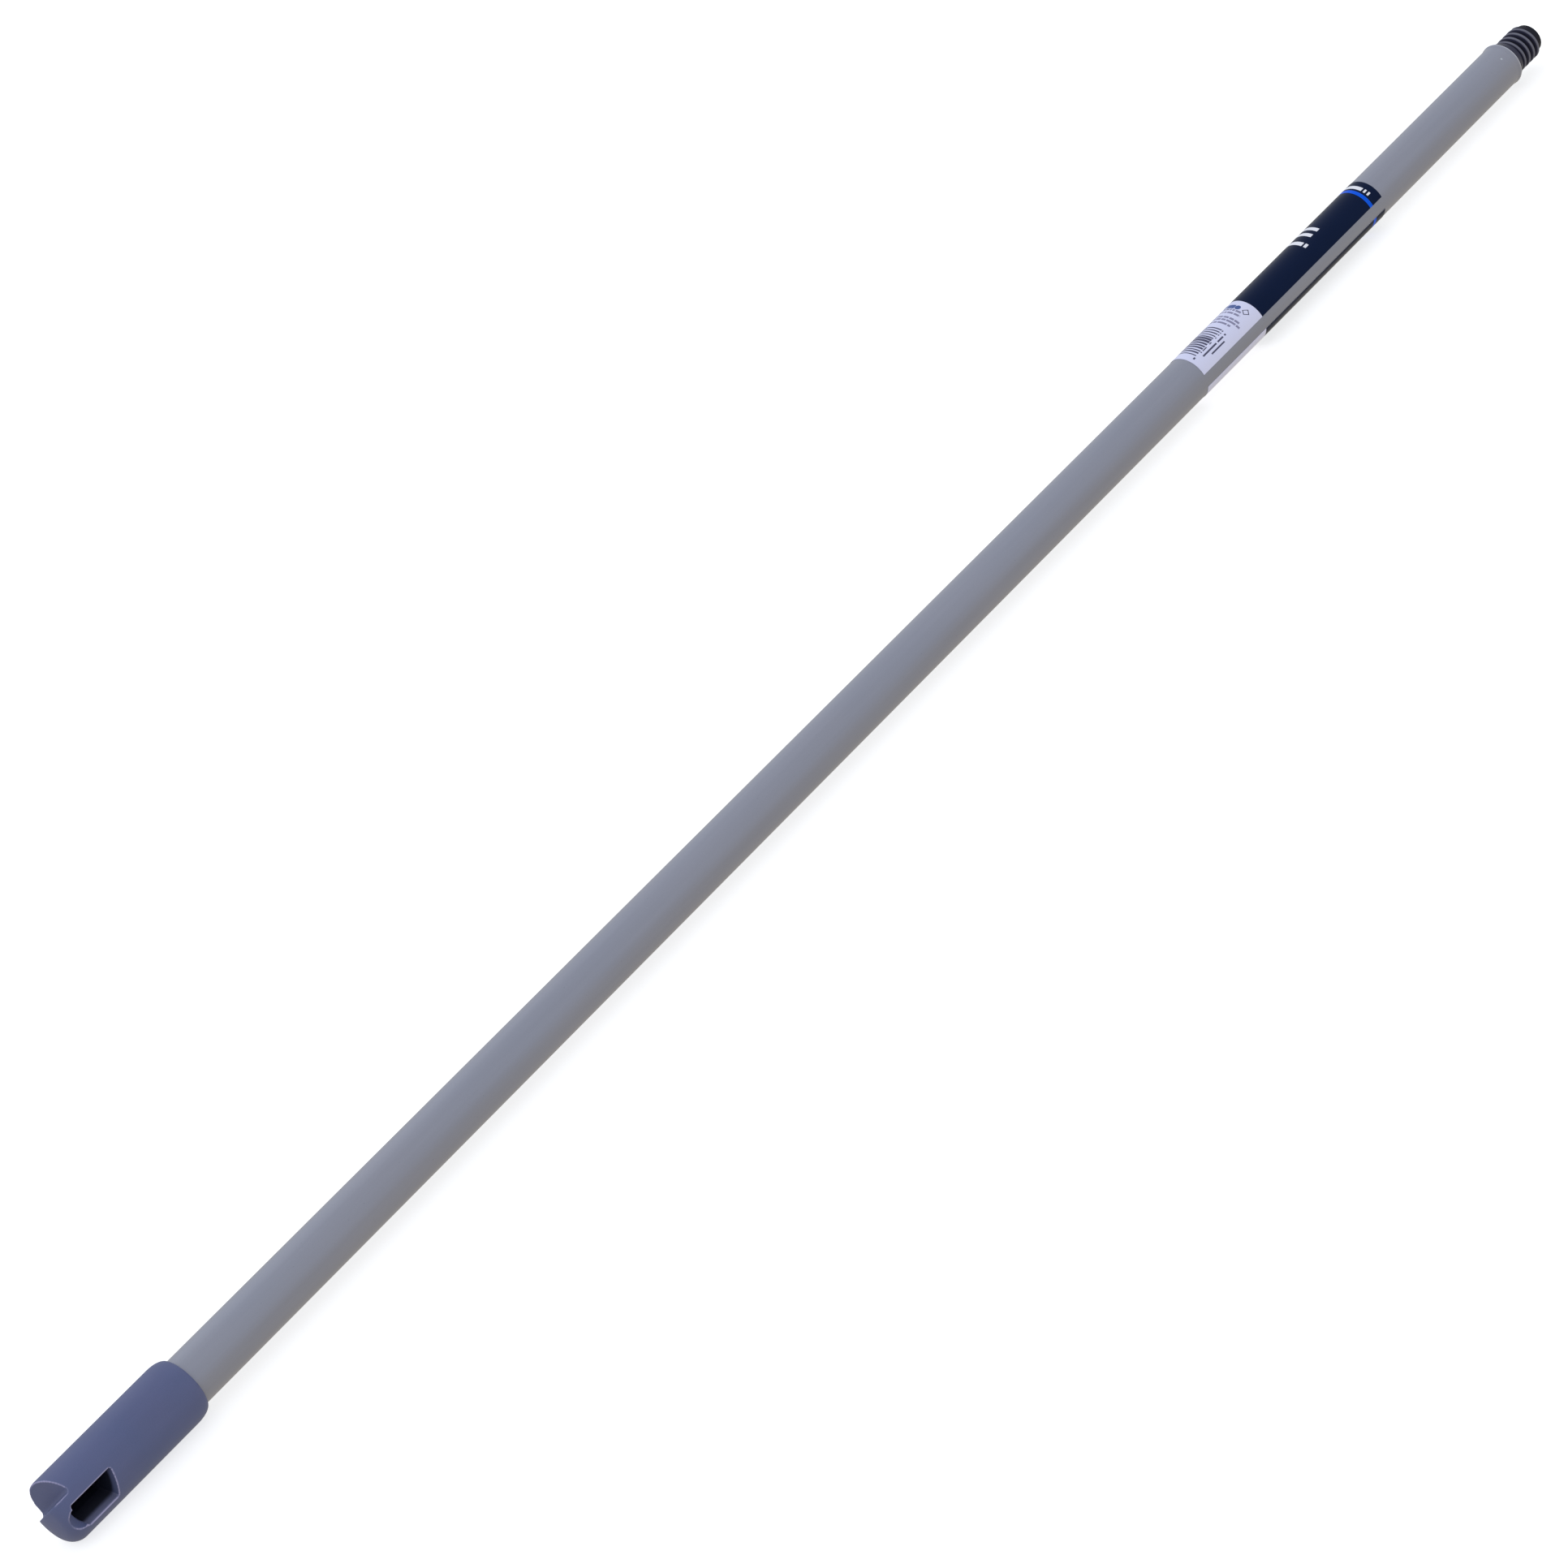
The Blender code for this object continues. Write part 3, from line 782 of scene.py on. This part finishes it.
def label_look():
    """Glossy printed film: a pale zone with small plain marks, a navy zone with bars, a blue ring."""
    look = Look("printed_film", Specular_IOR_Level=0.07)
    marks = Print(look)
    start, navy, end = (1000.0 * v for v in (LABEL_START, LABEL_NAVY, LABEL_END))

    # Pale zone: striped block, three rows along the pole, five rows round it, a disc and a diamond.
    dark_ink = [
        marks.bars(start + 5.1, start + 31.1, 60.0, 125.0, 0.50),
        marks.words_along(start + 8.0, start + 30.0, 55.0, 58.0, 1.1, 0.6, 41.0),
        marks.words_along(start + 7.9, start + 29.5, 44.0, 48.5, 0.8, 0.85, 11.0),
        marks.words_along(start + 12.8, start + 24.8, 33.5, 37.5, 0.9, 0.9, 23.0),
        marks.block(start + 2.6, start + 4.2, 56.0, 61.0),
    ]
    grey_rows = ((34.3, 51.6), (37.2, 32.0), (39.5, 41.0), (43.6, 51.6), (46.2, 57.0))
    grey_ink = []
    for number, (offset, lowest) in enumerate(grey_rows):
        left = start + offset
        seed = 7.0 * number
        grey_ink.append(marks.words_round(left, left + 1.4, lowest, 150.0, 0.42, 0.75, seed))
    disc_along = (marks.s - (navy - 5.6)).calc("POWER", 2.0)
    disc_round = ((marks.a - 74.0) * MM_PER_DEG).calc("POWER", 2.0)
    disc = (disc_along + disc_round).calc("SQRT").below(1.7)
    blue_ink = [disc, marks.words_round(navy - 7.2, navy - 3.9, 82.0, 130.0, 0.3, 0.7, 5.0)]
    diamond = (marks.s - (navy - 6.2)).calc("ABSOLUTE")
    diamond = diamond + ((marks.a - 49.0) * MM_PER_DEG).calc("ABSOLUTE")
    dark_ink.append(diamond.between(1.7, 2.4))

    # Navy zone: three bars in its middle and a row of marks beyond the ring.
    white_ink = [
        marks.words_round(navy + 54.5, navy + 57.7, 57.0, 150.0, 0.20, 0.88, 2.0),
        marks.words_round(navy + 63.4, navy + 66.2, 69.0, 150.0, 0.20, 0.88, 12.0),
        marks.words_round(navy + 69.2, navy + 72.0, 67.5, 150.0, 0.20, 0.88, 31.0),
        marks.words_round(end - 7.2, end - 4.4, 37.5, 140.0, 0.18, 0.80, 9.0),
    ]
    tone = look.noise(60.0, 2.0)
    pale = look.mix(tone, (0.700, 0.710, 0.930), (0.750, 0.750, 0.940))
    pale = look.mix(all_of(grey_ink) * 0.72, pale, (0.10, 0.09, 0.19))
    pale = look.mix(all_of(dark_ink) * 0.90, pale, (0.020, 0.020, 0.065))
    pale = look.mix(all_of(blue_ink) * 0.90, pale, (0.010, 0.060, 0.260))
    deep = look.mix(tone, (0.0004, 0.0068, 0.034), (0.0010, 0.0088, 0.041))
    ring = marks.s.between(1000.0 * LABEL_RING[0], 1000.0 * LABEL_RING[1])
    deep = look.mix(ring, deep, (0.001, 0.102, 0.790))
    deep = look.mix(all_of(white_ink) * 0.95, deep, (0.90, 0.90, 0.97))
    colour = look.mix(marks.s.above(navy), pale, deep)
    underside = look.radius.below(TUBE_RADIUS + LABEL_GAP + LABEL_FILM * 0.6)
    colour = look.mix(underside, colour, (0.55, 0.55, 0.62))
    look.colour(colour)
    look.rough(look.noise(300.0, 3.0, (0.2, 1.0, 1.0)) * 0.12 + 0.24)
    look.bump(look.noise(110.0, 2.0, (0.3, 1.0, 1.0)), 0.00004, 0.4)
    return look.material


# ---------------------------------------------------------------- studio

def floor_look():
    """White paper that glows a little, so that only soft shadows show on it."""
    look = Look("paper_floor", Specular_IOR_Level=0.1,
                Emission_Color=(1.0, 1.0, 1.0, 1.0), Emission_Strength=0.70)
    tone = look.noise(3.0, 2.0)
    look.colour(look.mix(tone, (0.53, 0.53, 0.53), (0.55, 0.55, 0.55)))
    look.rough(tone * 0.1 + 0.75)
    return look.material


def surroundings():
    """Soft white room: cool light from above, weaker and warmer light from below."""
    world = bpy.data.worlds.new("studio")
    world.use_nodes = True
    tree = world.node_tree
    direction = tree.nodes.new("ShaderNodeTexCoord").outputs["Generated"]
    split = tree.nodes.new("ShaderNodeSeparateXYZ")
    tree.links.new(direction, split.inputs[0])
    share = Field(tree, split.outputs[2]).ramp(-0.3, 0.3)
    blend = tree.nodes.new("ShaderNodeMix")
    blend.data_type = "RGBA"
    tree.links.new(share.socket, blend.inputs[0])
    blend.inputs[6].default_value = (0.65, 0.61, 0.53, 1.0)
    blend.inputs[7].default_value = (0.80, 0.84, 0.90, 1.0)
    tree.links.new(blend.outputs[2], tree.nodes["Background"].inputs["Color"])
    return world


def studio():
    """Pale floor under the pole, even white surroundings and one soft lamp above and behind."""
    shape = bmesh.new()
    bmesh.ops.create_grid(shape, x_segments=24, y_segments=24, size=FLOOR_HALF_SIZE)
    floor = dress("floor", bake("floor", shape), floor_look())
    floor.location = (0.0, 0.0, CAP_LOW.z)
    floor.visible_diffuse = False
    floor.visible_glossy = False
    bpy.context.scene.world = surroundings()
    lamp = bpy.data.lights.new("key", "AREA")
    lamp.shape = "SQUARE"
    lamp.size = LAMP_SIZE
    lamp.energy = LAMP_POWER
    lamp.color = (0.95, 0.98, 1.0)
    holder = hold("key", lamp)
    holder.location = LAMP_PLACE
    aim = Vector((0.0, 0.0, AXIS_Z)) - Vector(LAMP_PLACE)
    holder.rotation_euler = aim.to_track_quat("-Z", "Y").to_euler()


def camera():
    """View from the cap's end and above: the pole runs from the lower left to the upper right."""
    towards = Vector((-math.sin(CAMERA_TO_CAP), -math.cos(CAMERA_TO_CAP) * math.cos(CAMERA_ABOVE),
                      math.cos(CAMERA_TO_CAP) * math.sin(CAMERA_ABOVE)))
    across = Vector((0.0, math.sin(CAMERA_ABOVE), math.cos(CAMERA_ABOVE)))
    down_pole = across.cross(towards)
    rise_cos = math.cos(CAMERA_POLE_RISE)
    rise_sin = math.sin(CAMERA_POLE_RISE)
    right = down_pole * rise_cos - across * rise_sin
    up = down_pole * rise_sin + across * rise_cos
    data = bpy.data.cameras.new("camera")
    data.sensor_width = CAMERA_SENSOR_MM
    data.lens = CAMERA_LENS_MM
    data.clip_start = 0.05
    data.clip_end = 200.0
    holder = hold("camera", data)
    turn = Matrix((right, up, towards)).transposed().to_4x4()
    place = Matrix.Translation(Vector(CAMERA_AIM) + towards * CAMERA_DISTANCE)
    holder.matrix_world = place @ turn
    bpy.context.scene.camera = holder


end_cap(cap_look())
tube(coating_look())
threaded_tip(tip_look())
label(label_look())
studio()
camera()
bpy.context.scene.view_settings.view_transform = "Standard"
